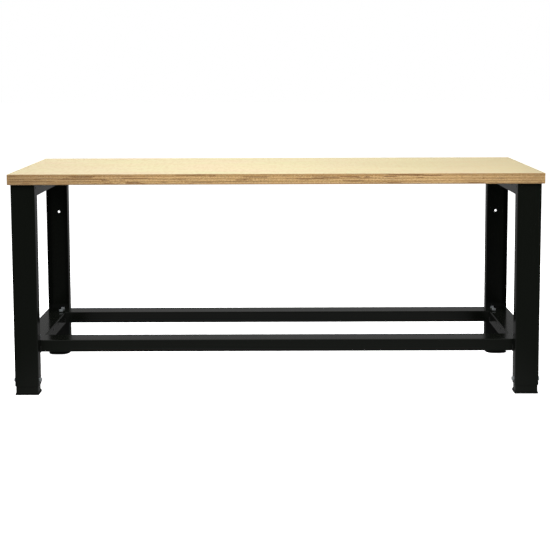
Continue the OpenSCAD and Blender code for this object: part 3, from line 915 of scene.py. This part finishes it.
def make_pads():
    """Moulded rubber pads: a soft rim with a groove round it, ribs underneath and two plugs above."""
    for corner in CORNERS:
        low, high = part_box(f"foot_pad_{corner}")
        plug_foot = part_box(f"foot_plate_{corner}")[0][2] - low[2] - PLUG_SUNK
        plug_top = high[2] - low[2]
        middle = Vector((*halfway(low, high)[:2], low[2]))
        half_width, half_depth = (high[0] - low[0]) / 2, (high[1] - low[1]) / 2
        toe = 1 if middle.y < 0 else -1
        mesh = bmesh.new()
        skin_solid(mesh, [pad_outline(half_width, half_depth, toe, *millimetres(*row)) for row in PAD_ROWS])
        build_tread(mesh, half_width, half_depth, toe)
        plug = turned_rings([(PLUG_RADIUS, plug_foot)] + [
            (PLUG_RADIUS - inset, plug_top - drop) for inset, drop in (millimetres(*row) for row in PLUG_ROWS)
        ], PLUG_STEPS)
        across = halfway(*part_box(f"leg_{corner}"))[1] - middle.y
        for side in (-PLUG_SPACING / 2, PLUG_SPACING / 2):
            skin_solid(mesh, [[(x + side, y + across, z) for x, y, z in ring] for ring in plug])
        bmesh.ops.translate(mesh, verts=mesh.verts, vec=middle)
        finish_mesh(mesh, f"rubber_pad_{corner}", "black_rubber", f"foot_{corner}", [f"foot_pad_{corner}"])


class BENCH_OT_worktop(bpy.types.Operator):
    """Finish the plywood panel"""

    bl_idname = "bench.worktop"
    bl_label = "Worktop"

    def execute(self, context):
        make_worktop()
        return {"FINISHED"}


class BENCH_OT_frame(bpy.types.Operator):
    """Finish the legs, rails and stretchers"""

    bl_idname = "bench.frame"
    bl_label = "Frame"

    def execute(self, context):
        coat_nodes(CHANNEL_NODES)
        return {"FINISHED"}


class BENCH_OT_feet(bpy.types.Operator):
    """Finish the telescopic feet"""

    bl_idname = "bench.feet"
    bl_label = "Feet"

    def execute(self, context):
        coat_nodes(f"foot_{part}_{corner}" for corner in CORNERS for part in ("sleeve", "plate"))
        make_pads()
        return {"FINISHED"}


class BENCH_OT_fasteners(bpy.types.Operator):
    """Finish the bolts, nuts, washers and screws"""

    bl_idname = "bench.fasteners"
    bl_label = "Fasteners"

    def execute(self, context):
        make_bolt_sets()
        make_worktop_screws()
        return {"FINISHED"}


# Stage

Lamp = namedtuple("Lamp", "place target size")

# The key stands high in front, the back light over the worktop's back, and the fill low before the legs
LAMPS = {
    "key": Lamp(place=(-0.6, -4.3, 6.6), target=(0, 0, 0.8), size=(6.0, 4.0)),
    "back": Lamp(place=(-0.2, 2.0, 3.6), target=(0, 0, 0.8), size=(2.0, 1.5)),
    "fill": Lamp(place=(1.2, -4.6, 1.3), target=(0.3, -0.35, 0.6), size=(1.8, 1.8)),
}
SENSOR_WIDTH = 36.0
FLOOR_COLOUR = (0.9, 0.9, 0.9)
# Brightness of the walls as light, and of the ceiling in reflections
WALL_LIGHT = 0.3
CEILING_REFLECTION = 0.35
# Where the floor's reflection changes, in metres before (less than 0), behind and beside the bench's middle
FRONT_CHANGE, UNDER_CHANGE, SIDE_CHANGE, BACK_CHANGE = (-5.5, -1.0), (-1.7, -0.55), (1.12, 0.82), (0.4, 0.8)
# From and to which place behind the middle it dims with the bench's painted shadow and then brightens, and
# from and to what share
NEAR_SHARE, FAR_SHARE = (0.0, 0.5, 1.0, 0.5), (0.8, 8.0, 0.5, 1.15)


def floor_reflection(graph, place, settings):
    """Brightness that reflections see in the floor, which glows in their place: dim before the bench, dim
    beside it with its painted shadow, bright under it, half as bright just behind it with its painted shadow,
    and brighter with the distance from there."""
    axes = graph.axes(place)
    aside = graph.spread(graph.math("ABSOLUTE", axes["X"]), *SIDE_CHANGE)
    under = graph.math("MULTIPLY", graph.spread(axes["Y"], *UNDER_CHANGE), aside)
    is_bright = graph.math("MAXIMUM", under, graph.spread(axes["Y"], *BACK_CHANGE))
    near, far = graph.spread(axes["Y"], *NEAR_SHARE), graph.spread(axes["Y"], *FAR_SHARE)
    bright = graph.math("MULTIPLY", graph.math("MAXIMUM", near, far), settings.back_reflection)
    dim = graph.spread(axes["Y"], *FRONT_CHANGE, settings.front_reflection, settings.side_reflection)
    return graph.mix(is_bright, dim, bright, "FLOAT")


def make_floor(settings):
    """A floor that is white to the camera, throws little light on the bench and is grey in reflections."""
    half = settings.floor_size / 2
    mesh = bpy.data.meshes.new("floor")
    corners = [(x * half, y * half, 0) for x, y in ((-1, -1), (1, -1), (1, 1), (-1, 1))]
    mesh.from_pydata(corners, [], [(0, 1, 2, 3)])
    floor = bpy.data.objects.new("floor", mesh)
    bpy.context.scene.collection.objects.link(floor)
    material, graph, place = new_material("studio_floor")

    def glow(strength):
        return graph.add("ShaderNodeEmission", {"Color": WHITE, "Strength": strength}).outputs["Emission"]

    matt = graph.add("ShaderNodeBsdfDiffuse", {"Color": FLOOR_COLOUR})
    seen = graph.add("ShaderNodeAddShader", {0: matt.outputs["BSDF"], 1: glow(settings.floor_glow)})
    ray = graph.add("ShaderNodeLightPath").outputs
    mirrored = glow(floor_reflection(graph, place, settings))
    unseen = graph.add("ShaderNodeMixShader", {
        0: ray["Is Glossy Ray"], 1: glow(settings.floor_bounce), 2: mirrored,
    })
    surface = graph.add("ShaderNodeMixShader", {
        0: ray["Is Camera Ray"], 1: unseen.outputs["Shader"], 2: seen.outputs["Shader"],
    })
    graph.add("ShaderNodeOutputMaterial", {"Surface": surface.outputs["Shader"]})
    mesh.materials.append(material)


def make_surroundings(settings):
    """White to the camera, grey as light, and in reflections dim in front, grey behind and pale overhead."""
    world = bpy.data.worlds.new("studio")
    world.use_nodes = True
    bpy.context.scene.world = world
    graph = Graph(world.node_tree)
    direction = graph.axes(graph.add("ShaderNodeTexCoord").outputs["Generated"])
    light = graph.spread(direction["Z"], 0.1, 0.5, WALL_LIGHT, settings.ceiling)
    walls = graph.spread(direction["Y"], -0.5, 0.1, settings.front_reflection, settings.back_reflection)
    overhead = graph.spread(direction["Z"], 0.3, 0.7)
    mirrored = graph.mix(overhead, walls, CEILING_REFLECTION, "FLOAT")
    ray = graph.add("ShaderNodeLightPath").outputs
    unseen = graph.mix(ray["Is Glossy Ray"], light, mirrored, "FLOAT")
    strength = graph.mix(ray["Is Camera Ray"], unseen, 1.0, "FLOAT")
    background = graph.add("ShaderNodeBackground", {"Color": WHITE, "Strength": strength})
    graph.add("ShaderNodeOutputWorld", {"Surface": background.outputs["Background"]})


def make_light(name, lamp, power):
    """A soft rectangular light that reflections don't see."""
    data = bpy.data.lights.new(name, "AREA")
    data.shape = "RECTANGLE"
    data.size, data.size_y = lamp.size
    data.energy = power
    light = bpy.data.objects.new(name, data)
    light.location = lamp.place
    light.rotation_euler = (Vector(lamp.target) - light.location).to_track_quat("-Z", "Y").to_euler()
    light.visible_glossy = False
    light.visible_camera = False
    bpy.context.scene.collection.objects.link(light)


def make_camera(settings):
    """The camera of the photograph: nearly level, with a lens shifted down."""
    data = bpy.data.cameras.new("camera")
    data.sensor_width = SENSOR_WIDTH
    data.lens = settings.focal_length
    data.shift_x = settings.shift_x
    data.shift_y = settings.shift_y
    camera = bpy.data.objects.new("camera", data)
    tilt = Matrix.Rotation(math.pi / 2 - settings.camera_pitch, 4, "X")
    roll = Matrix.Rotation(settings.camera_roll, 4, "Z")
    camera.matrix_world = Matrix.Translation(settings.camera_place) @ tilt @ roll
    bpy.context.scene.collection.objects.link(camera)
    bpy.context.scene.camera = camera


class BENCH_OT_stage(bpy.types.Operator):
    """Make the floor, the surroundings, the light and the camera"""

    bl_idname = "bench.stage"
    bl_label = "Stage"

    def execute(self, context):
        settings = context.scene.bench_stage
        make_camera(settings)
        make_floor(settings)
        make_surroundings(settings)
        for name, lamp in LAMPS.items():
            make_light(name, lamp, getattr(settings, f"{name}_power"))
        context.scene.view_settings.view_transform = "Standard"
        return {"FINISHED"}


OPERATORS = (BENCH_OT_worktop, BENCH_OT_frame, BENCH_OT_feet, BENCH_OT_fasteners, BENCH_OT_stage)


class BENCH_PT_panel(bpy.types.Panel):
    """Lists the bench's pieces and settings"""

    bl_label = "Workbench"
    bl_idname = "BENCH_PT_panel"
    bl_space_type = "VIEW_3D"
    bl_region_type = "UI"
    bl_category = "Workbench"

    def draw(self, context):
        column = self.layout.column()
        for settings in (context.scene.bench_finish, context.scene.bench_stage):
            for name in settings.__annotations__:
                column.prop(settings, name)
        for operator in OPERATORS:
            column.operator(operator.bl_idname)


CLASSES = (FinishSettings, StageSettings, *OPERATORS, BENCH_PT_panel)


def register():
    for each in CLASSES:
        bpy.utils.register_class(each)
    bpy.types.Scene.bench_finish = bpy.props.PointerProperty(type=FinishSettings)
    bpy.types.Scene.bench_stage = bpy.props.PointerProperty(type=StageSettings)


def unregister():
    del bpy.types.Scene.bench_stage
    del bpy.types.Scene.bench_finish
    for each in reversed(CLASSES):
        bpy.utils.unregister_class(each)


def main():
    register()
    bpy.ops.bench.stage()
    bpy.ops.bench.worktop()
    bpy.ops.bench.frame()
    bpy.ops.bench.feet()
    bpy.ops.bench.fasteners()


if __name__ == "__main__":
    main()
